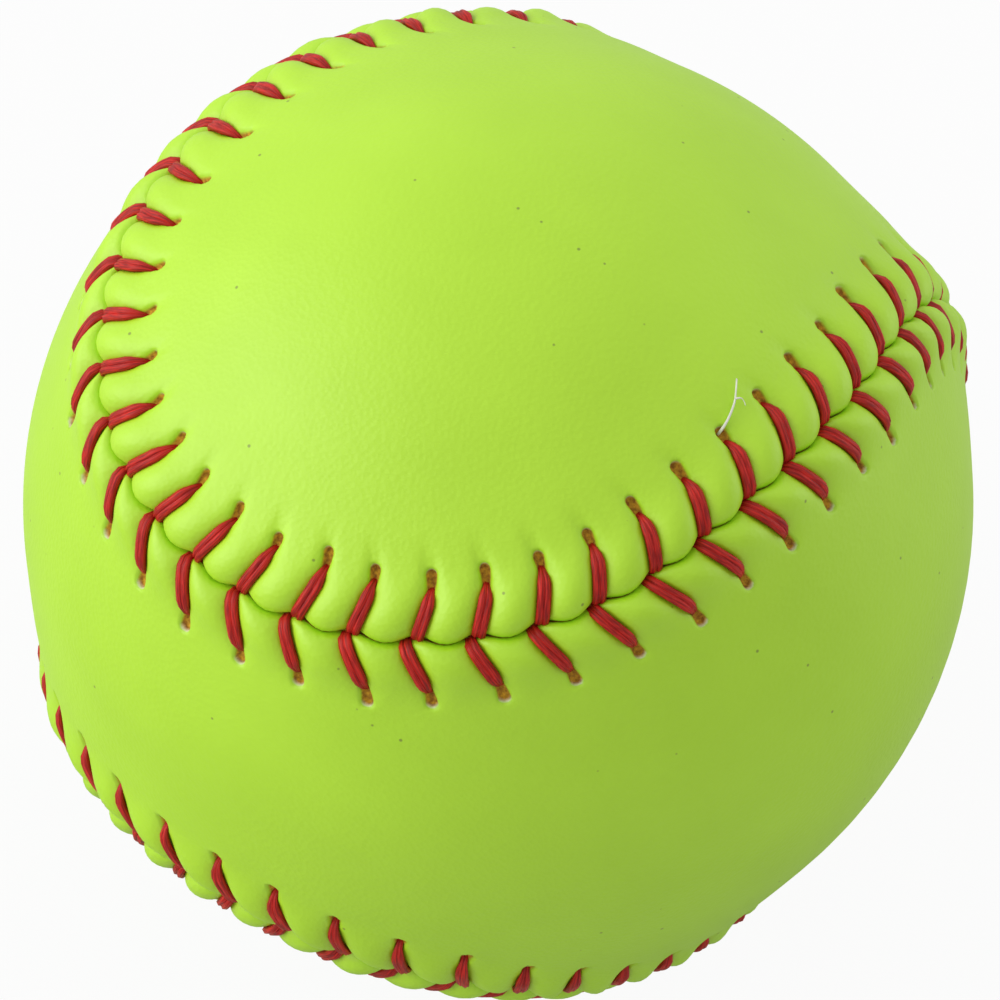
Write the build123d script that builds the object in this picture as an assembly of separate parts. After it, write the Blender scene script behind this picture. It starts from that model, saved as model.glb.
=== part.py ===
"""Twelve-inch softball: a moulded core, a cement film, two laced leather panels and two waxed threads.

Millimetres, origin at the centre of the ball, +Z up through panel A's upper lobe.
Panel A covers the top and the bottom and has its waist at +Y.  Panel B covers the two sides at
+X and -X and has its waist at -Y.  The seam is one closed line of eight circle runs: four lobe
arcs joined by four great-circle links, each quarter a mirrored quarter turn of the one before.
"""
from build123d import *
import os
from math import acos, asin, atan2, cos, degrees, hypot, sin, sqrt

# Cover and core
COVER_RADIUS = 47.45        # leather away from the seam; the raised seam brings the girth to 304.8
LEATHER = 2.0               # thickness of a cover panel
CEMENT = 0.15               # rubber cement between core and leather
BOND_GAP = 0.02             # clearance on each side of the cement film

# Seam line, measured over the leather
LOBE_OFFSET = 16.95         # from the pole of the ball to the middle of a lobe arc
LINK_LENGTH = 33.15         # straight run between two lobe arcs
SEAM_GAP = 0.2              # between the cut edges of the two panels
QUARTER_STITCHES = 22       # stitches in each panel along a quarter of the seam
FIRST_STITCH = 0.8          # first stitch after the start of panel A's upper arc, in stitches

# Puffed lip on each side of the seam, heights above the cover
LIP_RISE = 2.6              # crown of the puffs between the stitches
LIP_CREST = 2.6             # from the seam to the crown
LIP_DIP = 0.9               # fall from the crown to the seam
LIP_SHOULDER = 6.5          # from the seam to the line of the needle holes
LIP_BACK = 1.1              # fall from the crown to that line
LIP_REACH = 14.5            # from the seam to where the drawn-up leather is flat again
CROWN_FLAT = 0.7            # width along the seam of a puff's unpinched crown

# Lacing
THREAD = 1.2                # diameter of the waxed thread
THREAD_PLAY = 0.08          # clearance round the thread
THREAD_OUT = 1.4            # height of the thread's centre where it comes out of the seam
THREAD_IN = 1.25            # height of the thread's centre where it goes down its hole
THREAD_BEND = 0.65          # radius of the thread's centre line where it turns
NEEDLE_HOLE = 6.3           # from the seam to a needle hole, along the stitch
HOLE_AHEAD = 1.95           # lean of a stitch: from its start to its hole, along the seam
SLIT_LENGTH = 1.7           # needle slit beyond the middle of the hole
SLIT_WIDTH = 0.7
UNDER_REACH = 2.2           # from the seam to where a hidden run turns square to it
UNDER_STRAIGHT = 0.5        # straight thread between the two bends of a hidden run that lead to a stitch
UNDER_LIFT = 0.25           # from the inside of the cover up to the bends of the hidden runs
HOLLOW_RIDGE = 0.2          # rise of the hollow's roof towards the seam
HOLLOW_FALL = 2.0           # run of the hollow's sloping side

# Sizes that follow
INSIDE = COVER_RADIUS - LEATHER
CORE_RADIUS = INSIDE - CEMENT - 2 * BOND_GAP
CHANNEL = THREAD + 2 * THREAD_PLAY
COME_OUT = THREAD / 2 + 2 * THREAD_PLAY
UNDER = -LEATHER + UNDER_LIFT + THREAD / 2
UNDER_PASS = 2 * THREAD_BEND + UNDER_STRAIGHT
ROOF = UNDER + CHANNEL / 2 + THREAD_PLAY
BELOW = -LEATHER - THREAD
LEAN = atan2(HOLE_AHEAD, NEEDLE_HOLE)
STITCHES = 4 * QUARTER_STITCHES

# Seam geometry on the unit sphere
LOBE_TILT = LOBE_OFFSET / COVER_RADIUS
LINK_HALF = LINK_LENGTH / (2 * COVER_RADIUS)
LOBE_ANGLE = acos(cos(LOBE_TILT) / (sqrt(2) * cos(LINK_HALF)))
LOBE_AXIS = Vector(0, -sin(LOBE_TILT), cos(LOBE_TILT))
LOBE_ACROSS = Vector(1, 0, 0)
LOBE_ALONG = Vector(0, cos(LOBE_TILT), sin(LOBE_TILT))
LINK_MIDDLE = Vector(1, 0, 1).normalized()
LINK_RISE = asin(sin(LOBE_ANGLE) / hypot(sin(LOBE_TILT), cos(LOBE_TILT) / sqrt(2)))
LINK_TURN = LINK_RISE + atan2(sin(LOBE_TILT), cos(LOBE_TILT) / sqrt(2))
LINK_AXIS = Vector(0, cos(LINK_TURN), 0) + Vector(-1, 0, 1).normalized() * sin(LINK_TURN)
LINK_WAY = LINK_AXIS.cross(LINK_MIDDLE)
TOUCH = LOBE_AXIS - LINK_AXIS * sin(LOBE_ANGLE)
ARC_HALF = atan2(TOUCH.dot(LOBE_ACROSS), -TOUCH.dot(LOBE_ALONG))
ARC_LENGTH = 2 * ARC_HALF * sin(LOBE_ANGLE) * COVER_RADIUS
QUARTER = ARC_LENGTH + LINK_LENGTH
PITCH = QUARTER / QUARTER_STITCHES
STITCH_STARTS = [(count + FIRST_STITCH) * PITCH for count in range(STITCHES)]


def quarter_on(vector, quarters):
    """A direction carried on to a later quarter of the seam, which swaps the two panels each time."""
    for _ in range(quarters % 4):
        vector = Vector(vector.Z, -vector.Y, -vector.X)
    return vector


def seam_at(along):
    """Outward, forward and towards-panel-A directions at a length along the seam."""
    quarters = int(along // QUARTER)
    rest = along - quarters * QUARTER
    if rest < ARC_LENGTH:
        turn = rest / (sin(LOBE_ANGLE) * COVER_RADIUS) - ARC_HALF
        spoke = LOBE_ACROSS * sin(turn) - LOBE_ALONG * cos(turn)
        outward = LOBE_AXIS * cos(LOBE_ANGLE) + spoke * sin(LOBE_ANGLE)
        forward = LOBE_ACROSS * cos(turn) + LOBE_ALONG * sin(turn)
    else:
        turn = (rest - ARC_LENGTH) / COVER_RADIUS - LINK_HALF
        outward = LINK_MIDDLE * cos(turn) + LINK_WAY * sin(turn)
        forward = LINK_WAY * cos(turn) - LINK_MIDDLE * sin(turn)
    outward = quarter_on(outward, quarters)
    forward = quarter_on(forward, quarters)
    return outward, forward, outward.cross(forward)


def stitch_plane(along, side, lean=LEAN):
    """Section through the ball's centre from a point of the seam: X over one panel, Y outwards."""
    outward, forward, towards_a = seam_at(along)
    reach = towards_a * (side * cos(lean)) + forward * sin(lean)
    return Plane(origin=(0, 0, 0), x_dir=reach, z_dir=reach.cross(outward))


def in_section(reach, height):
    """Point of a section: a length over the leather from the seam, and a height above the leather."""
    angle = reach / COVER_RADIUS
    return ((COVER_RADIUS + height) * sin(angle), (COVER_RADIUS + height) * cos(angle))


def seam_runs():
    """Start, axis and turn in degrees of the eight circle runs of the seam."""
    runs = []
    for quarter in range(4):
        sense = 1 if quarter % 2 == 0 else -1
        start = quarter * QUARTER
        runs.append((start, quarter_on(LOBE_AXIS, quarter) * sense, degrees(2 * ARC_HALF)))
        runs.append((start + ARC_LENGTH, quarter_on(LINK_AXIS, quarter) * sense, degrees(2 * LINK_HALF)))
    return runs


def along_seam(half_section):
    """A section of one side of the seam, doubled and carried round the eight runs."""
    section = half_section + half_section.mirror(Plane.YZ)
    return [
        revolve(stitch_plane(start, 1, lean=0) * section, Axis((0, 0, 0), axis), turn)
        for start, axis, turn in seam_runs()
    ]


def lip():
    """Leather drawn up by the lacing: a rolled edge and a long straight fall to the cover."""
    seam = in_section(0, LIP_RISE - LIP_DIP)
    shoulder = in_section(LIP_SHOULDER, LIP_RISE - LIP_BACK)
    foot = in_section(LIP_REACH, -LEATHER / 6)
    inside = in_section(0, -LEATHER)
    roll = ThreePointArc(seam, in_section(LIP_CREST, LIP_RISE), shoulder)
    return along_seam(make_face([roll, Line(shoulder, foot), Line(foot, inside), Line(inside, seam)]))


def hollow():
    """Inside of the cover: the ball that the core fills, and room under the seam for hidden thread."""
    side = NEEDLE_HOLE + CHANNEL
    room = along_seam(make_face(Polyline(
        in_section(0, BELOW),
        in_section(side + HOLLOW_FALL, BELOW),
        in_section(side, ROOF),
        in_section(0, ROOF + HOLLOW_RIDGE),
        close=True,
    )))
    return Sphere(INSIDE) + room


def cut_edge():
    """Surface of panel A's cut edge, right round the seam."""
    faces = []
    for start, axis, turn in seam_runs():
        across = stitch_plane(start, 1, lean=0)
        foot = across.from_local_coords(Vector(*in_section(SEAM_GAP / 2, -2 * LEATHER)))
        top = across.from_local_coords(Vector(*in_section(SEAM_GAP / 2, 2 * LIP_RISE)))
        faces.append(Face.revolve(Edge.make_line(foot, top), turn, Axis((0, 0, 0), axis)))
    return Shell(faces)


def pinch_section(crown):
    """Between two puffs: round at the thread, then the rounded flanks up to their crowns."""
    run = (PITCH - CHANNEL) / 2
    swell = (run ** 2 + crown ** 2) / (2 * crown)
    middle = (PITCH / 2, crown - swell)
    top = 90 + degrees(asin(CROWN_FLAT / 2 / swell))
    side = degrees(atan2(swell - crown, -run))
    flank = CenterArc(middle, swell, top, side - top)
    floor = ThreePointArc((CHANNEL / 2, 0), (0, -CHANNEL / 2), (-CHANNEL / 2, 0))
    edge = flank @ 0
    lid = Polyline(edge, (edge.X, 2 * LIP_RISE), (-edge.X, 2 * LIP_RISE), (-edge.X, edge.Y))
    return make_face([flank, floor, flank.mirror(Plane.YZ), lid])


def stitch_cutter():
    """What one stitch takes out of its panel: a pinch in the lip, a notch in the edge and a hole."""
    come_out = Vector(*in_section(COME_OUT, THREAD_OUT))
    go_down = Vector(*in_section(NEEDLE_HOLE, THREAD_IN))
    way = (go_down - come_out).normalized()
    crown = Vector(*in_section(LIP_CREST, LIP_RISE)) - come_out
    crown_above = (crown - way * crown.dot(way)).length
    behind = come_out - way * LIP_SHOULDER
    pinch_plane = Plane(origin=behind, x_dir=(0, 0, -1), z_dir=way)
    pinch = extrude(pinch_plane * pinch_section(crown_above), LIP_SHOULDER + LIP_REACH)
    depth = LEATHER + THREAD + 2 * LIP_RISE
    notch_plane = Plane(origin=in_section(COME_OUT, BELOW), x_dir=(1, 0, 0), z_dir=come_out)
    notch_length = CHANNEL + 2 * COME_OUT
    notch = Pos((CHANNEL - notch_length) / 2, 0) * SlotOverall(notch_length, CHANNEL)
    hole_plane = Plane(origin=in_section(NEEDLE_HOLE, BELOW), x_dir=(1, 0, 0), z_dir=go_down)
    slit = Pos((SLIT_LENGTH - SLIT_WIDTH / 2) / 2, 0) * SlotOverall(SLIT_LENGTH + SLIT_WIDTH / 2, SLIT_WIDTH)
    hole = Circle(CHANNEL / 2) + slit
    return pinch + extrude(notch_plane * notch, depth) + extrude(hole_plane * hole, depth)


def cover_panel():
    """Panel A: the ball with its lip, hollowed, cut at the seam and pinched and pierced by stitches."""
    leather = Sphere(COVER_RADIUS) + lip() - hollow()
    lobe_middle = Vector(0, 0, COVER_RADIUS - LEATHER / 2)
    halves = leather.split(cut_edge(), keep=Keep.ALL)
    panel = min(halves, key=lambda half: half.distance_to(lobe_middle))
    cutter = stitch_cutter()
    return panel - [cutter.moved(stitch_plane(start, 1).location) for start in STITCH_STARTS]


def other_panel(panel):
    """Panel B is panel A mirrored and given a quarter turn, so that their stitches meet."""
    return panel.mirror(Plane.XZ).rotate(Axis.Y, 90)


def lacing(first_side):
    """One thread: over a panel, down its hole, under both edges and over the other panel, in turn."""
    points = []
    side = first_side
    for start in STITCH_STARTS:
        stitch = stitch_plane(start, side)
        passing = stitch_plane(start + side * UNDER_PASS, side, lean=0)
        for plane, reach, height in (
            (passing, -UNDER_REACH, UNDER),
            (passing, THREAD_PLAY, UNDER),
            (stitch, COME_OUT, UNDER),
            (stitch, COME_OUT, THREAD_OUT),
            (stitch, NEEDLE_HOLE, THREAD_IN),
            (stitch, NEEDLE_HOLE, UNDER),
        ):
            points.append(plane.from_local_coords(Vector(*in_section(reach, height))))
        side = -side
    return tube(points[2:])


def tube(points):
    """Thread along straight runs joined by tangent arcs, one corner at a time."""
    corners = points[1:-1]
    halfway = [(here + there) * 0.5 for here, there in zip(corners, corners[1:])]
    ends = [points[0], *halfway, points[-1]]
    bends = []
    for corner, before, after in zip(corners, ends, ends[1:]):
        bends += FilletPolyline(before, corner, after, radius=THREAD_BEND).edges()
    path = Wire(bends)
    return sweep(Plane(origin=path @ 0, z_dir=path % 0) * Circle(THREAD / 2), path=path)


def main():
    panel = cover_panel()
    parts = {
        "core": Sphere(CORE_RADIUS),
        "cement_film": Sphere(INSIDE - BOND_GAP) - Sphere(CORE_RADIUS + BOND_GAP),
        "cover_panel_a": panel,
        "cover_panel_b": other_panel(panel),
        "lacing_thread_a": lacing(1),
        "lacing_thread_b": lacing(-1),
    }
    os.makedirs("parts", exist_ok=True)
    for name, solid in parts.items():
        export_step(solid, f"parts/{name}.step")


if __name__ == "__main__":
    main()
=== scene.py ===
"""Softball: two leather cover panels drawn together by crimson lacing, seen as in the photograph.

The ball is laid out in millimetres from its seam: along it, away from it (reach) and above the leather
(height).  A side of 1 is panel A, over the top and the bottom, and a side of -1 is panel B.
"""
import math
import random
import bpy
import numpy as np
from mathutils import Matrix, Vector


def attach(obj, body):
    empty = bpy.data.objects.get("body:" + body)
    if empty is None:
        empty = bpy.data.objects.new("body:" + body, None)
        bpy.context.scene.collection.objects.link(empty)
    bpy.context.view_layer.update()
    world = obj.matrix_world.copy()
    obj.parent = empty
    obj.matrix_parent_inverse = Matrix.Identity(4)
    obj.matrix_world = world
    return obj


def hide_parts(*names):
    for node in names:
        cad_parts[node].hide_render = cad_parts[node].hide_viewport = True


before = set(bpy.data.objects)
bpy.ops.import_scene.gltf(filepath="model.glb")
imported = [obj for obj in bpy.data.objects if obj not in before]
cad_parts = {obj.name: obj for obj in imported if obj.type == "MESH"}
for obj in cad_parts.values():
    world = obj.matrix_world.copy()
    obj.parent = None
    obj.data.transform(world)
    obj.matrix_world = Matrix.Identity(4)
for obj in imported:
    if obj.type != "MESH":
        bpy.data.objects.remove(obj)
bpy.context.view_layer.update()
bpy.ops.object.select_all(action="DESELECT")
draw = random.Random(12)

MM = 0.001

# The ball and its seam, as in the part's source
COVER_RADIUS = 47.45
LEATHER = 2.0
INSIDE_RADIUS = COVER_RADIUS - LEATHER
LOBE_OFFSET = 16.95
LINK_LENGTH = 33.15
STITCHES = 88
FIRST_STITCH = 0.8          # in stitches, from the start of panel A's upper arc

# Where the stitches lie
NEEDLE_HOLE = 5.5           # from the seam to where a thread goes in
SNUG = 0.6                  # how much nearer the holes lie at the snuggest place
SNUG_AT = 74                # along the seam to that place
SNUG_SPREAD = 16
LEAN = {1: .38, -1: .5}     # on each panel, run along the seam for each unit away from it
UPRIGHT = .2                # how much less panel A's stitches lean at the most upright place
UPRIGHT_AT = -14            # along the seam to that place
UPRIGHT_SPREAD = 13
CURL = 0.06                 # how a stitch curls back from its lean
CURL_START = 3.0
STAGGER = 0.45              # panel A's stitches start this far ahead of the middle, panel B's behind it

# The least and the most of what differs from stitch to stitch, drawn in this order
UNEVEN = {
    "start": (-.14, .14),   # along the seam
    "lean": (-.04, .04),
    "hole": (-.2, .2),      # away from the seam
    "puff": (-.06, .07),    # share of height that the next puff gains
    "slit": (.82, 1.12),    # share of the slit's length
    "twist": (-.9, .9),     # turn of the two strands round each other
    "turn": (-.5, .5),      # their turn at the middle of the stitch
    "weight": (.93, 1.06),  # share of the thread's thickness
    "shade": (0, 1),        # place in the pattern of the fibres
}

# Where the mesh of a panel has its columns, in shares of a pitch, and its rows, in reach
COLUMNS = (0, .03, .06, .088, .116, .15, .205, .28, .38, .5, .62, .72, .795, .85, .884, .912, .94, .97)
ROWS = (0, .06, .16, .32, .55, .85, 1.25, 1.7, 2.2, 2.75, 3.3, 3.85, 4.35, 4.8, 5.2, 5.5, 5.75, 6, 6.25,
        6.5, 6.75, 7, 7.2, 7.4, 7.6, 7.85, 8.25, 8.8, 9.6, 10.7, 12.1, 14, 16.5)
SETTLED = 9.0               # beyond this reach the columns ease into even ones
RIBS_ACROSS = 16            # faces across the smooth middle
MERGE = 2e-6                # metres within which meeting vertices are one

# Heights of the leather, by reach
PUFF_EDGE = {1: ((0, .6), (.06, 1), (.16, 1.33), (.32, 1.62), (.55, 1.87), (.85, 2.08), (1.25, 2.27)),
             -1: ((0, 1.3), (.06, 1.5), (.16, 1.67), (.32, 1.85), (.55, 2.02), (.85, 2.16), (1.25, 2.3))}
PUFF_CROWN = {1: ((1.8, 2.39), (2.5, 2.4), (3.3, 2.26), (4.2, 1.96), (5.2, 1.56), (6.3, 1.2), (7.5, .95),
                  (9, .72), (11, .45), (13, .2), (15, .05), (16.5, 0)),
              -1: ((1.8, 2.39), (2.5, 2.35), (3.3, 2.14), (4.2, 1.75), (5.2, 1.28), (6.3, .9), (7.5, .66),
                   (9, .48), (11, .28), (13, .12), (15, .03), (16.5, 0))}
VALLEY = ((0, -.2), (.3, .65), (.8, .92), (1.6, 1.02), (2.6, 1.02), (3.6, .96), (4.6, .84), (5.5, .74),
          (6.5, .69), (7.5, .69), (8.5, .67), (9.5, .63), (11, .45), (13, .2), (15, .05), (16.5, 0))

# Creases between the puffs
CREASE_CORE = 1.0           # half width of a crease's narrow part
CREASE_FLOOR = .35          # half width of its level floor
NARROW_REACH = (4.5, 6.5)   # between these the crease turns from a wide valley into a narrow one
NARROW_SHARE = (.2, .9)     # share of the narrow part at each
SCALLOP = .6                # how far panel A's puffs bulge over the seam line
SCALLOP_BACK = .35          # share of it by which the edge draws back at a stitch
SCALLOP_FADE = 2.4          # reach over which a bulge fades

# Needle slits
SLIT_LENGTH = {1: 1.9, -1: 1.6}     # on each panel, past where the thread goes in
SLIT_NARROW = .3            # half width where the thread goes in
SLIT_WIDE = {1: .58, -1: .5}        # half width at the far end
SLIT_COVERED = .7           # the length of it under the thread
SLIT_DEPTH = .7
SLIT_WALL = .3              # run of its sloping wall
FRAY = {1: .5, -1: 1}       # how frayed the far ends are on each panel
FRAY_BEFORE = .48           # the fraying starts this far before the far end
FRAY_RUN = .4               # and is full after this run

# Cut edge and flesh side
EDGE_GAP = 0.02             # from the seam line to each panel's cut edge
EDGE_TURN = .45             # height where the edge turns under
HOLLOW_ROOF = -0.35         # height of the leather's inside over the hidden thread
HOLLOW_REACH = 7.7
HOLLOW_FALL = 2.0           # run of the hollow's sloping side

# Thread: its heights by reach, and the two strands of a stitch
THREAD_HEIGHT = ((-.15, -.9), (.05, .1), (.35, .92), (.8, 1.38), (1.6, 1.59), (2.6, 1.61), (3.6, 1.52),
                 (4.4, 1.32), (4.9, 1.04), (5.3, .62), (5.6, .1), (5.8, -.3))
THREAD_LENGTH = 7.0         # of one stitch, for the pattern of its fibres
THREAD_STEP = .01           # share of a stitch over which its direction is taken
STRAND_SIDES = 6
STRAND_RINGS = 9
STRAND_HALF_WIDTH = .44
STRAND_HALF_HEIGHT = .42
STRAND_SPACING = .28        # from the middle of a stitch to the middle of a strand
STRAND_LIFT = .45           # share of that spacing when one strand lies on the other
END_TAPER = .55             # share of thickness lost where a stitch goes into its slit
END_FROM = .7               # share of the stitch where that starts
END_RUN = .24               # and the share over which it goes on
END_CURVE = 1.5
START_TAPER = .15           # share of thickness lost where a stitch comes out of the seam
START_RUN = .12
SHADE_SHIFT = 40            # the most that the pattern of the fibres moves from stitch to stitch

# Loose fibre: run along the seam, reach and height from where its stitch goes in
FIBRE_STITCH = 17           # panel A's stitch with a fibre pulled out of its slit
FIBRE_PATH = ((-.2, 1.15, .1), (.4, 1.5, 1), (1.4, 1.95, 1.35),
              (2.3, 2.4, 1.45), (3.1, 2.8, 1.3), (4.5, 4, 1.35))
FIBRE_TUFT = ((3, 2.75, 1.35), (3.4, 2.5, 1.6), (3.45, 2.1, 1.6), (3.35, 1.7, 1.5))
FIBRE_RADIUS = .17
TUFT_RADIUS = .12
FIBRE_TAPER = .4            # share of thickness lost along it

# Finishes
YELLOW_DEEP = (.405, .70, .008, 1)
YELLOW_PALE = (.44, .755, .014, 1)
FLESH_DARK = (.28, .11, .002, 1)
FLESH_PALE = (.75, .41, .02, 1)
FRAYED_RIM = (.8, .78, .66, 1)
SPECK = (.09, .08, .02, 1)
CRIMSON_DEEP = (.24, .004, .003, 1)
CRIMSON_BRIGHT = (.63, .02, .012, 1)
LINT = (.78, .78, .66)
CORE_CREAM = (.72, .62, .42)
CEMENT_TAN = (.55, .45, .24)
GRAIN_DARK = .8             # a grain's darkest and palest shares of its colour
GRAIN_PALE = 1.1

# Camera: its directions in the frame and its distance in metres, and the ball's place in the photograph
CAMERA_RIGHT = Vector((.7238, .6795, .1197))
CAMERA_UP = Vector((-.5471, .4595, .6996))
CAMERA_BACK = Vector((.4204, -.5719, .7044))
CAMERA_DISTANCE = .7905
SENSOR = 36                 # width, in millimetres
LENS = 284.5
NEAR_CLIP = .01
FAR_CLIP = 20
PICTURE = 1000              # pixels each way
BALL_X = 498.25             # pixels from the left and from the top
BALL_Y = 504.3

# Floor and light
FLOOR_SIZE = 6
FLOOR_BELOW = .15           # from the ball down to the floor, in millimetres
FLOOR_GREY = (.6, .6, .6, 1)
FLOOR_WHITE = .94           # share of plain white that the camera sees
LIGHT_FROM = CAMERA_UP * .8 - CAMERA_RIGHT * .6
SHADE_LEVEL = .38           # level of the surroundings away from the light
LIT_LEVEL = 1               # and towards it


# Seam line: four lobe arcs joined by four great-circle links

LOBE_TILT = LOBE_OFFSET / COVER_RADIUS
LINK_HALF = LINK_LENGTH / (2 * COVER_RADIUS)
LOBE_ANGLE = math.acos(math.cos(LOBE_TILT) / (math.sqrt(2) * math.cos(LINK_HALF)))
LOBE_AXIS = np.array((0, -math.sin(LOBE_TILT), math.cos(LOBE_TILT)))
LOBE_ACROSS = np.array((1.0, 0, 0))
LOBE_ALONG = np.array((0, math.cos(LOBE_TILT), math.sin(LOBE_TILT)))
LINK_MIDDLE = np.array((1, 0, 1)) / math.sqrt(2)
SLOPE = math.cos(LOBE_TILT) / math.sqrt(2)
LINK_TURN = math.asin(math.sin(LOBE_ANGLE) / math.hypot(math.sin(LOBE_TILT), SLOPE))
LINK_TURN += math.atan2(math.sin(LOBE_TILT), SLOPE)
LINK_AXIS = np.array((0, math.cos(LINK_TURN), 0)) + np.array((-1, 0, 1)) / math.sqrt(2) * math.sin(LINK_TURN)
LINK_WAY = np.cross(LINK_AXIS, LINK_MIDDLE)
TOUCH = LOBE_AXIS - LINK_AXIS * math.sin(LOBE_ANGLE)
ARC_HALF = math.atan2(TOUCH @ LOBE_ACROSS, -(TOUCH @ LOBE_ALONG))
ARC_LENGTH = 2 * ARC_HALF * math.sin(LOBE_ANGLE) * COVER_RADIUS
QUARTER = ARC_LENGTH + LINK_LENGTH
SEAM = 4 * QUARTER
PITCH = SEAM / STITCHES


def quarters_on(vectors, quarters):
    """Directions carried on to their quarter of the seam, which swaps the panels each time."""
    x, y, z = vectors.T
    turns = [(x, y, z), (z, -y, -x), (-x, y, -z), (-z, -y, x)]
    return np.array([np.choose(quarters, [turn[axis] for turn in turns]) for axis in range(3)]).T


def seam_at(along):
    """Outward and towards-panel-A directions at lengths along the seam."""
    along = np.mod(np.asarray(along, float).ravel(), SEAM)
    quarters = np.minimum((along // QUARTER).astype(int), 3)
    rest = along - quarters * QUARTER
    turn = (rest / (math.sin(LOBE_ANGLE) * COVER_RADIUS) - ARC_HALF)[:, None]
    spoke = LOBE_ACROSS * np.sin(turn) - LOBE_ALONG * np.cos(turn)
    arc_out = LOBE_AXIS * math.cos(LOBE_ANGLE) + spoke * math.sin(LOBE_ANGLE)
    arc_on = LOBE_ACROSS * np.cos(turn) + LOBE_ALONG * np.sin(turn)
    turn = ((rest - ARC_LENGTH) / COVER_RADIUS - LINK_HALF)[:, None]
    link_out = LINK_MIDDLE * np.cos(turn) + LINK_WAY * np.sin(turn)
    link_on = LINK_WAY * np.cos(turn) - LINK_MIDDLE * np.sin(turn)
    on_arc = (rest < ARC_LENGTH)[:, None]
    outward = quarters_on(np.where(on_arc, arc_out, link_out), quarters)
    forward = quarters_on(np.where(on_arc, arc_on, link_on), quarters)
    return outward, np.cross(outward, forward)


def on_ball(along, side, reach, height):
    """Points over one panel, in metres."""
    along, reach, height = np.broadcast_arrays(along, reach, height)
    outward, towards_a = seam_at(along)
    angle = (reach.ravel() / COVER_RADIUS)[:, None]
    way = outward * np.cos(angle) + towards_a * side * np.sin(angle)
    return way * (COVER_RADIUS + height.ravel())[:, None] * MM


def smooth_curve(points, at):
    """A smooth curve through points, level beyond its ends."""
    x, y = np.array(points, float).T
    slope = np.gradient(y, x)
    slope[0] = slope[-1] = 0
    at = np.clip(at, x[0], x[-1])
    step = np.clip(np.searchsorted(x, at, side="right") - 1, 0, len(x) - 2)
    width = x[step + 1] - x[step]
    t = (at - x[step]) / width
    start = (1 + 2 * t) * (1 - t) ** 2 * y[step] + t * (1 - t) ** 2 * width * slope[step]
    return start + t * t * (3 - 2 * t) * y[step + 1] + t * t * (t - 1) * width * slope[step + 1]


def lengths_of(vectors):
    """The length of each vector, as a column."""
    return np.linalg.norm(vectors, axis=-1)[..., None]


# Stitches: where each one starts, leans and goes down, a little uneven as hand lacing is

def lacing_plan(side):
    """One panel's stitches, in their order along the seam."""
    plan = []
    for count in range(STITCHES):
        along = (count + FIRST_STITCH) * PITCH
        snug = SNUG * math.exp(-((along - SNUG_AT) / SNUG_SPREAD) ** 2)
        from_upright = math.remainder(along - UPRIGHT_AT, SEAM)
        upright = max(0, side) * UPRIGHT * math.exp(-(from_upright / UPRIGHT_SPREAD) ** 2)
        stitch = {size: draw.uniform(*limits) for size, limits in UNEVEN.items()}
        stitch["start"] += along + side * STAGGER
        stitch["lean"] += LEAN[side] - upright
        stitch["hole"] += NEEDLE_HOLE - snug
        plan.append(stitch)
    return plan


def sway(lean, reach):
    """How far along the seam a stitch has run at a reach from it."""
    return lean * reach - CURL * np.maximum(0, reach - CURL_START) ** 2


def bulge_at(along, plan):
    """How far panel A's puffs reach over the seam line at lengths along it."""
    starts = np.array([stitch["start"] for stitch in plan])
    starts = np.concatenate((starts[-1:] - SEAM, starts, starts[:1] + SEAM))
    before = np.searchsorted(starts, np.mod(along, SEAM), side="right") - 1
    share = (np.mod(along, SEAM) - starts[before]) / (starts[before + 1] - starts[before])
    return SCALLOP * (np.sin(np.pi * share) ** 2 - SCALLOP_BACK)


def slit_distance(off, past, length, widest):
    """Distance from the outline of a needle slit, less than nothing inside it."""
    end = length - widest
    spread = np.clip((past + SLIT_COVERED) / (end + SLIT_COVERED), 0, 1)
    straight = off - SLIT_NARROW - (widest - SLIT_NARROW) * spread
    rounded = np.hypot(off, np.maximum(0, past - end)) - widest
    return np.maximum(np.where(past > end, rounded, straight), -SLIT_COVERED - past)


# Meshes

def place_vertices(piece, points):
    """A piece's vertices moved to points, in their order."""
    piece.data.vertices.foreach_set("co", points.astype(np.float32).ravel())


def laid_grid(name, points, **values):
    """A grid of faces laid at points, in rows and columns, with a value at each point for each attribute."""
    rows, columns = points.shape[:2]
    bpy.ops.mesh.primitive_grid_add(x_subdivisions=columns - 1, y_subdivisions=rows - 1)
    grid = bpy.context.object
    grid.name = name
    place_vertices(grid, points)
    for label, value in values.items():
        attribute = grid.data.attributes.new(label, "FLOAT", "POINT")
        everywhere = np.broadcast_to(value, (rows, columns))
        attribute.data.foreach_set("value", everywhere.astype(np.float32).ravel())
    return grid


def join(name, pieces):
    """The pieces as one object."""
    bpy.ops.object.select_all(action="DESELECT")
    for piece in pieces:
        piece.select_set(True)
    bpy.context.view_layer.objects.active = pieces[0]
    bpy.ops.object.join()
    pieces[0].name = pieces[0].data.name = name
    return pieces[0]


def close_up(piece, merge=None):
    """Vertices within a merge distance made one, faces turned outwards and shaded smooth."""
    bpy.ops.object.mode_set(mode="EDIT")
    bpy.ops.mesh.select_all(action="SELECT")
    if merge:
        bpy.ops.mesh.remove_doubles(threshold=merge)
    bpy.ops.mesh.normals_make_consistent(inside=False)
    bpy.ops.object.mode_set(mode="OBJECT")
    bpy.ops.object.shade_smooth()
    piece.select_set(False)
    return piece


def round_again(rows):
    """Rows of values as one array, each row ending where it starts."""
    return np.array([np.concatenate((row, row[:1])) for row in rows])


def ribs(ring, first, radius):
    """Rows of points across a panel, from one half of a closed ring of points to the other."""
    count = len(ring)
    step = np.arange(count // 2 + 1)
    left = ring[(first + step) % count][:, None, :]
    right = ring[(first - step) % count][:, None, :]
    points = left + (right - left) * np.linspace(0, 1, RIBS_ACROSS + 1)[None, :, None]
    return points / lengths_of(points) * radius


# Leather

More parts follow.
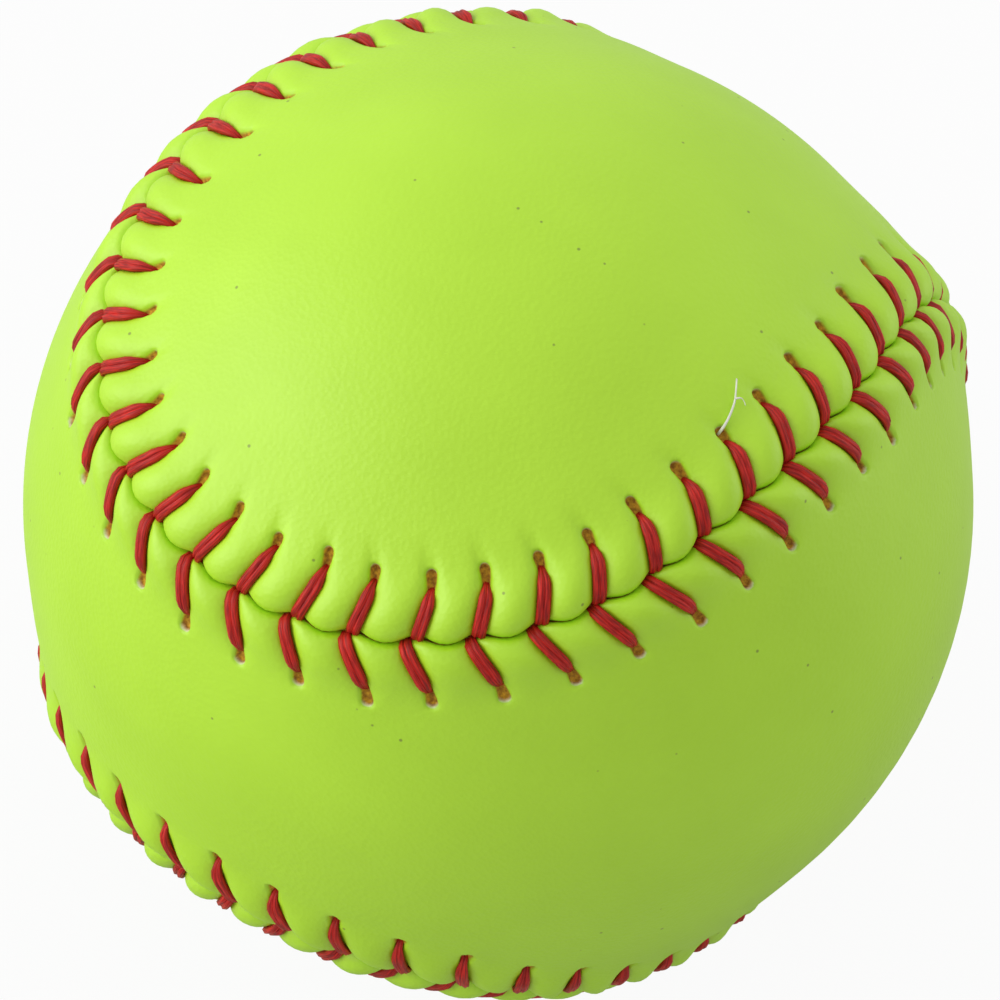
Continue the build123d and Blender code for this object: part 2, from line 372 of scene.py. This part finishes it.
def underside(side, outer, inner, edge_along, bulge):
    """Rows of points from a panel's cut edge, over the hidden thread, to its flesh side."""
    flat = np.zeros(len(edge_along))
    rows = [outer, on_ball(edge_along, side, EDGE_GAP - side * bulge, flat + EDGE_TURN)]
    hollow = ((EDGE_GAP, HOLLOW_ROOF), (HOLLOW_REACH, HOLLOW_ROOF), (HOLLOW_REACH + HOLLOW_FALL, -LEATHER))
    for reach, height in hollow:
        rows.append(on_ball(edge_along, side, reach + flat, height + flat))
    rows.append(inner / lengths_of(inner) * (INSIDE_RADIUS * MM))
    return rows


def cover_panel(name, side, plan, plan_a):
    """One leather panel: the puffed band along the seam, the smooth middle, the cut edge and the inside."""
    starts, leans, holes, puffs, slits = (
        np.array([stitch[size] for stitch in plan]) for size in ("start", "lean", "hole", "puff", "slit"))

    # columns of the band, from each stitch to the next
    share = np.tile(np.array(COLUMNS), STITCHES)
    here = np.repeat(np.arange(STITCHES), len(COLUMNS))
    there = (here + 1) % STITCHES
    lap = np.where(there < here, SEAM, 0)
    nearest = np.where(share < .5, here, there)
    off = np.minimum(share, 1 - share) * PITCH
    middle = np.sin(np.pi * share)
    narrow = np.exp(-(off / CREASE_CORE) ** 3)
    wide = np.minimum(1, (PITCH / 2 - off) / (PITCH / 2 - CREASE_FLOOR)) ** 2
    slit_lengths = SLIT_LENGTH[side] * slits[nearest]
    edge_along = starts[here] + (starts[there] + lap - starts[here]) * share
    bulge = bulge_at(edge_along, plan_a)

    # the column at the tip of a lobe, where the ribs across the panel start
    count = len(share)
    tip = ARC_LENGTH / 2 + (0 if side > 0 else QUARTER)
    first = int(np.argmin(np.abs(edge_along + sway(leans[here], SETTLED) - tip)))
    even = tip + (np.arange(count) - first) * SEAM / count

    points, cut, fray = [], [], []
    for reach in ROWS:
        settle = np.clip((reach - SETTLED) / (ROWS[-1] - SETTLED), 0, 1) ** 2
        left = starts[here] + sway(leans[here], min(reach, SETTLED))
        right = starts[there] + sway(leans[there], min(reach, SETTLED)) + lap
        along = (left + (right - left) * share) * (1 - settle) + even * settle
        level = smooth_curve(PUFF_EDGE[side] + PUFF_CROWN[side], reach)
        crown = level * (1 + puffs[here] * middle * (reach < SETTLED))
        mix = np.interp(reach, NARROW_REACH, NARROW_SHARE)
        drop = max(0, level - smooth_curve(VALLEY, reach)) * (narrow * mix + wide * (1 - mix))
        past = reach - holes[nearest]
        outside = slit_distance(off, past, slit_lengths, SLIT_WIDE[side])
        inside = np.clip(.5 - outside / SLIT_WALL, 0, 1)
        shifted = reach + EDGE_GAP - side * bulge * math.exp(-(reach / SCALLOP_FADE) ** 2)
        points.append(on_ball(along, side, shifted, crown - drop - SLIT_DEPTH * inside))
        cut.append(np.clip(.5 - outside, 0, 1))
        fray.append(FRAY[side] * np.clip((past - slit_lengths + FRAY_BEFORE) / FRAY_RUN, 0, 1))

    under = underside(side, points[0], points[-1], edge_along, bulge)
    flesh = (np.arange(len(under)) > 0)[:, None] * 1.0
    smooth = ribs(points[-1], first, COVER_RADIUS * MM)
    flesh_side = ribs(under[-1], first, INSIDE_RADIUS * MM)
    patches = [
        laid_grid("band", round_again(points), cut=round_again(cut), fray=round_again(fray), raw=0),
        laid_grid("middle", smooth, cut=0, fray=0, raw=0),
        laid_grid("edge", round_again(under), cut=0, fray=0, raw=flesh),
        laid_grid("flesh_side", flesh_side, cut=0, fray=0, raw=1),
    ]
    return close_up(join(name, patches), MERGE)


# Thread

def straight_strand():
    """A straight strand along Z, one unit long and one in radius, with rings to bend it at."""
    bpy.ops.mesh.primitive_cylinder_add(vertices=STRAND_SIDES, radius=1, depth=1)
    strand = bpy.context.object
    bpy.ops.object.mode_set(mode="EDIT")
    bpy.ops.mesh.select_mode(type="EDGE")
    bpy.ops.mesh.select_all(action="DESELECT")
    bpy.ops.object.mode_set(mode="OBJECT")
    heights = [vertex.co.z for vertex in strand.data.vertices]
    for line in strand.data.edges:
        line.select = abs(heights[line.vertices[0]] - heights[line.vertices[1]]) > .5
    bpy.ops.object.mode_set(mode="EDIT")
    bpy.ops.mesh.subdivide(number_cuts=STRAND_RINGS)
    bpy.ops.object.mode_set(mode="OBJECT")
    return strand


def straight_points(strand):
    """A straight strand's vertices."""
    return np.array([vertex.co for vertex in strand.data.vertices], float)


def thread_thickness(share):
    """Share of a stitch's thickness, by the share of its length."""
    into_slit = np.clip((share - END_FROM) / END_RUN, 0, 1) ** END_CURVE
    out_of_seam = np.clip((START_RUN - share) / START_RUN, 0, 1)
    return (1 - END_TAPER * into_slit) * (1 - START_TAPER * out_of_seam)


def lay_strand(strand, stitch, side, turn):
    """A copy of the straight strand laid over a panel as one half of a stitch."""
    laid = strand.copy()
    laid.data = strand.data.copy()
    bpy.context.scene.collection.objects.link(laid)
    straight = straight_points(laid)
    share = straight[:, 2] + .5
    low = THREAD_HEIGHT[0][0]
    high = THREAD_HEIGHT[-1][0]

    def centre(share):
        """Lengths along the seam and points on the stitch's centre line."""
        reach = low + (high - low) * share
        height = smooth_curve(THREAD_HEIGHT, reach)
        reach = reach * (1 + (stitch["hole"] / NEEDLE_HOLE - 1) * np.clip(share, 0, 1))
        along = stitch["start"] + sway(stitch["lean"], reach)
        return along, on_ball(along, side, reach, height) / MM

    along, place = centre(share)
    way = centre(share + THREAD_STEP)[1] - centre(share - THREAD_STEP)[1]
    way /= lengths_of(way)
    across = np.cross(way, seam_at(along)[0])
    across /= lengths_of(across)
    up = np.cross(across, way)
    thickness = thread_thickness(share)[:, None] * stitch["weight"]
    angle = (turn + stitch["twist"] * (share - .5))[:, None]
    offset = across * np.cos(angle) * STRAND_SPACING + up * np.sin(angle) * STRAND_SPACING * STRAND_LIFT
    body = across * straight[:, :1] * STRAND_HALF_WIDTH + up * straight[:, 1:2] * STRAND_HALF_HEIGHT
    place_vertices(laid, (place + (offset + body) * thickness) * MM)
    fibres = straight * (STRAND_HALF_WIDTH, STRAND_HALF_WIDTH, THREAD_LENGTH)
    fibres[:, :2] += stitch["shade"] * SHADE_SHIFT + turn
    attribute = laid.data.attributes.new("fibres", "FLOAT_VECTOR", "POINT")
    attribute.data.foreach_set("vector", fibres.astype(np.float32).ravel())
    return laid


def lacing_thread(name, first_side, plans):
    """One thread's stitches, over the two panels in turn."""
    strand = straight_strand()
    laid = []
    for count in range(STITCHES):
        side = first_side if count % 2 == 0 else -first_side
        stitch = plans[side][count]
        for turn in (stitch["turn"], stitch["turn"] + math.pi):
            laid.append(lay_strand(strand, stitch, side, turn))
    bpy.data.objects.remove(strand)
    return close_up(join(name, laid))


def loose_fibre(stitch, path, radius):
    """A fibre pulled out of panel A's slit, along a path of run, reach and height."""
    fibre = straight_strand()
    straight = straight_points(fibre)
    share = straight[:, 2] + .5
    marks = np.linspace(0, 1, len(path))
    run, reach, height = (smooth_curve(np.array((marks, way)).T, share) for way in np.array(path).T)
    root = stitch["start"] + sway(stitch["lean"], stitch["hole"])
    place = on_ball(root + run, 1, stitch["hole"] + reach, height)
    outward, towards_a = seam_at(root + run)
    thickness = radius * (1 - FIBRE_TAPER * share)[:, None] * MM
    place_vertices(fibre, place + (outward * straight[:, :1] + towards_a * straight[:, 1:2]) * thickness)
    return fibre


# Materials

def start_material(name):
    """A new material, its nodes and its surface."""
    material = bpy.data.materials.new(name)
    material.use_nodes = True
    return material, material.node_tree, material.node_tree.nodes["Principled BSDF"]


def set_inputs(tree, node, inputs):
    """Each input given a value, or a link from another node's output."""
    for socket, value in inputs.items():
        if isinstance(value, bpy.types.NodeSocket):
            tree.links.new(value, node.inputs[socket])
        else:
            node.inputs[socket].default_value = value


def add_node(tree, kind, inputs=None, **settings):
    """A node with its settings and its inputs."""
    node = tree.nodes.new(kind)
    for setting, value in settings.items():
        setattr(node, setting, value)
    set_inputs(tree, node, inputs or {})
    return node


def read_attribute(tree, name):
    """A value that the mesh carries at each point."""
    return add_node(tree, "ShaderNodeAttribute", attribute_name=name)


def two_colours(tree, amount, low, high):
    """A run from one colour to another, each with its place on the run."""
    ramp = add_node(tree, "ShaderNodeValToRGB", {"Fac": amount})
    for stop, (position, colour) in zip(ramp.color_ramp.elements, (low, high)):
        stop.position = position
        stop.color = colour
    return ramp.outputs["Color"]


def paint_over(tree, amount, under, over):
    """One colour painted over another."""
    inputs = {"Factor": amount, "A": under, "B": over}
    return add_node(tree, "ShaderNodeMix", inputs, data_type="RGBA").outputs["Result"]


def combine(tree, operation, one, other):
    """Two values made one by an operation."""
    return add_node(tree, "ShaderNodeMath", {0: one, 1: other}, operation=operation).outputs["Value"]


def raise_surface(tree, surface, height, strength, distance):
    """A fine relief on the surface."""
    bump = add_node(tree, "ShaderNodeBump", {"Strength": strength, "Distance": distance, "Height": height})
    set_inputs(tree, surface, {"Normal": bump.outputs["Normal"]})


def plain_material(name, colour, roughness, grain):
    """A solid material with a fine grain."""
    material, tree, surface = start_material(name)
    place = add_node(tree, "ShaderNodeTexCoord").outputs["Object"]
    noise = add_node(tree, "ShaderNodeTexNoise", {"Vector": place, "Scale": grain, "Detail": 6})
    dark = [c * GRAIN_DARK for c in colour] + [1]
    pale = [min(1, c * GRAIN_PALE) for c in colour] + [1]
    grained = two_colours(tree, noise.outputs["Fac"], (0, dark), (1, pale))
    set_inputs(tree, surface, {"Base Color": grained, "Roughness": roughness})
    raise_surface(tree, surface, noise.outputs["Fac"], strength=.2, distance=.0003)
    return material


def leather_material():
    """Optic yellow leather, brown where it is cut."""
    material, tree, surface = start_material("optic_leather")
    place = add_node(tree, "ShaderNodeTexCoord").outputs["Object"]
    broad = add_node(tree, "ShaderNodeTexNoise", {"Vector": place, "Scale": 60, "Detail": 4})
    dyed = two_colours(tree, broad.outputs["Fac"], (.3, YELLOW_DEEP), (.72, YELLOW_PALE))

    # brown flesh of the leather in the needle slits, the cut edges and the inside
    cut = read_attribute(tree, "cut").outputs["Fac"]
    raw = read_attribute(tree, "raw").outputs["Fac"]
    fibre = add_node(tree, "ShaderNodeTexNoise", {"Vector": place, "Scale": 2500, "Detail": 3}).outputs["Fac"]
    flesh = two_colours(tree, fibre, (.35, FLESH_DARK), (.75, FLESH_PALE))
    opened = {"Value": combine(tree, "MAXIMUM", cut, raw), "From Min": .42, "From Max": .54}
    edge = add_node(tree, "ShaderNodeMapRange", opened).outputs["Result"]
    painted = paint_over(tree, edge, dyed, flesh)

    # pale frayed rim at the far ends of the slits
    fray = read_attribute(tree, "fray").outputs["Fac"]
    outer = {"Value": cut, "From Min": .36, "From Max": .46}
    rim = add_node(tree, "ShaderNodeMapRange", outer, interpolation_type="SMOOTHSTEP").outputs["Result"]
    inner = {"Value": cut, "From Min": .64, "From Max": .5}
    hole = add_node(tree, "ShaderNodeMapRange", inner).outputs["Result"]
    ring = combine(tree, "MULTIPLY", rim, hole)
    patchy = combine(tree, "MULTIPLY", combine(tree, "MULTIPLY", ring, fray), fibre)
    frayed = paint_over(tree, patchy, painted, FRAYED_RIM)

    # a few tiny dark specks
    dust = add_node(tree, "ShaderNodeTexVoronoi", {"Vector": place, "Scale": 240})
    near = {"Value": dust.outputs["Distance"], "From Min": .05, "From Max": .03, "To Max": .6}
    speck = add_node(tree, "ShaderNodeMapRange", near).outputs["Result"]
    specked = paint_over(tree, speck, frayed, SPECK)

    rough = add_node(tree, "ShaderNodeMapRange", {"Value": edge, "To Min": .5, "To Max": .95})
    set_inputs(tree, surface, {
        "Base Color": specked,
        "Roughness": rough.outputs["Result"],
        "Specular IOR Level": .75,
    })
    pebble = add_node(tree, "ShaderNodeTexVoronoi", {"Vector": place, "Scale": 1900})
    raise_surface(tree, surface, pebble.outputs["Distance"], strength=.3, distance=.0001)
    return material


def thread_material():
    """Crimson waxed thread, streaked along its fibres."""
    material, tree, surface = start_material("crimson_thread")
    place = read_attribute(tree, "fibres").outputs["Vector"]
    stretch = add_node(tree, "ShaderNodeMapping", {"Vector": place, "Scale": (7, 7, .6)}).outputs["Vector"]
    fibre = add_node(tree, "ShaderNodeTexNoise", {"Vector": stretch, "Scale": 1, "Detail": 4}).outputs["Fac"]
    streaked = two_colours(tree, fibre, (.36, CRIMSON_DEEP), (.66, CRIMSON_BRIGHT))
    set_inputs(tree, surface, {"Base Color": streaked, "Roughness": .5, "Specular IOR Level": .3})
    raise_surface(tree, surface, fibre, strength=.4, distance=.0001)
    return material


leather = leather_material()
thread = thread_material()
lint = plain_material("pale_fibre", LINT, roughness=.8, grain=1500)

plans = {1: lacing_plan(1), -1: lacing_plan(-1)}
for name, side in (("panel_a", 1), ("panel_b", -1)):
    panel = cover_panel(name, side, plans[side], plans[1])
    panel.data.materials.append(leather)
    if side > 0:
        stitch = plans[side][FIBRE_STITCH]
        for path, radius in ((FIBRE_PATH, FIBRE_RADIUS), (FIBRE_TUFT, TUFT_RADIUS)):
            fibre = loose_fibre(stitch, path, radius)
            fibre.data.materials.append(lint)
            close_up(join(name, [panel, fibre]))
    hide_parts("cover_" + name)
    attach(panel, "root")
for name, side in (("thread_a", 1), ("thread_b", -1)):
    lacing = lacing_thread(name, side, plans)
    lacing.data.materials.append(thread)
    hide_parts("lacing_" + name)
    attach(lacing, "root")

inside_materials = {
    "core": plain_material("moulded_core", CORE_CREAM, roughness=.6, grain=900),
    "cement_film": plain_material("dried_cement", CEMENT_TAN, roughness=.45, grain=500),
}
for name, material in inside_materials.items():
    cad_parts[name].data.materials.clear()
    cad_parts[name].data.materials.append(material)


# Camera, floor and light

def aim_camera():
    """The camera where the photograph was taken from."""
    data = bpy.data.cameras.new("camera")
    data.sensor_width = SENSOR
    data.lens = LENS
    data.clip_start = NEAR_CLIP
    data.clip_end = FAR_CLIP
    data.shift_x = (PICTURE / 2 - BALL_X) / PICTURE
    data.shift_y = (BALL_Y - PICTURE / 2) / PICTURE
    camera = bpy.data.objects.new("camera", data)
    bpy.context.scene.collection.objects.link(camera)
    turned = Matrix((CAMERA_RIGHT, CAMERA_UP, CAMERA_BACK)).transposed().to_4x4()
    camera.matrix_world = Matrix.Translation(CAMERA_BACK * CAMERA_DISTANCE) @ turned
    bpy.context.scene.camera = camera


def lay_floor():
    """A pale floor, nearly white to the camera, that keeps a faint shadow."""
    bpy.ops.mesh.primitive_plane_add(size=FLOOR_SIZE, location=(0, 0, -(COVER_RADIUS + FLOOR_BELOW) * MM))
    floor = bpy.context.object
    floor.name = "floor"
    material, tree, surface = start_material("pale_floor")
    set_inputs(tree, surface, {"Base Color": FLOOR_GREY, "Roughness": .9})
    white = add_node(tree, "ShaderNodeEmission")
    path = add_node(tree, "ShaderNodeLightPath")
    share = combine(tree, "MULTIPLY", path.outputs["Is Camera Ray"], FLOOR_WHITE)
    mix = add_node(tree, "ShaderNodeMixShader", {
        "Fac": share,
        1: surface.outputs["BSDF"],
        2: white.outputs["Emission"],
    })
    set_inputs(tree, tree.nodes["Material Output"], {"Surface": mix.outputs["Shader"]})
    floor.data.materials.append(material)


def light_surroundings():
    """Soft light from all round, fading away from the lit side, and an even backdrop."""
    world = bpy.data.worlds.new("studio")
    bpy.context.scene.world = world
    world.use_nodes = True
    tree = world.node_tree
    direction = add_node(tree, "ShaderNodeTexCoord").outputs["Generated"]
    turned = {0: direction, 1: LIGHT_FROM[:]}
    facing = add_node(tree, "ShaderNodeVectorMath", turned, operation="DOT_PRODUCT")
    fading = {"Value": facing.outputs["Value"], "From Min": -1, "To Min": SHADE_LEVEL, "To Max": LIT_LEVEL}
    level = add_node(tree, "ShaderNodeMapRange", fading).outputs["Result"]
    soft = tree.nodes["Background"]
    set_inputs(tree, soft, {"Color": (1, 1, 1, 1), "Strength": level})
    bright = add_node(tree, "ShaderNodeBackground", {"Strength": 1})
    path = add_node(tree, "ShaderNodeLightPath")
    mix = add_node(tree, "ShaderNodeMixShader", {
        "Fac": path.outputs["Is Camera Ray"],
        1: soft.outputs["Background"],
        2: bright.outputs["Background"],
    })
    set_inputs(tree, tree.nodes["World Output"], {"Surface": mix.outputs["Shader"]})


def softbox(name, right, up, back, size, power):
    """A square lamp placed from the camera's point of view, in metres, and aimed at the ball."""
    data = bpy.data.lights.new(name, "AREA")
    data.size = size
    data.energy = power
    lamp = bpy.data.objects.new(name, data)
    bpy.context.scene.collection.objects.link(lamp)
    lamp.location = CAMERA_RIGHT * right + CAMERA_UP * up + CAMERA_BACK * back
    lamp.rotation_mode = "QUATERNION"
    lamp.rotation_quaternion = (-lamp.location).to_track_quat("-Z", "Y")


aim_camera()
lay_floor()
light_surroundings()
softbox("key", right=-1.15, up=.3, back=.5, size=1.2, power=11)
softbox("fill", right=1.1, up=.3, back=-.15, size=.9, power=3)

bpy.context.scene.view_settings.view_transform = "Standard"
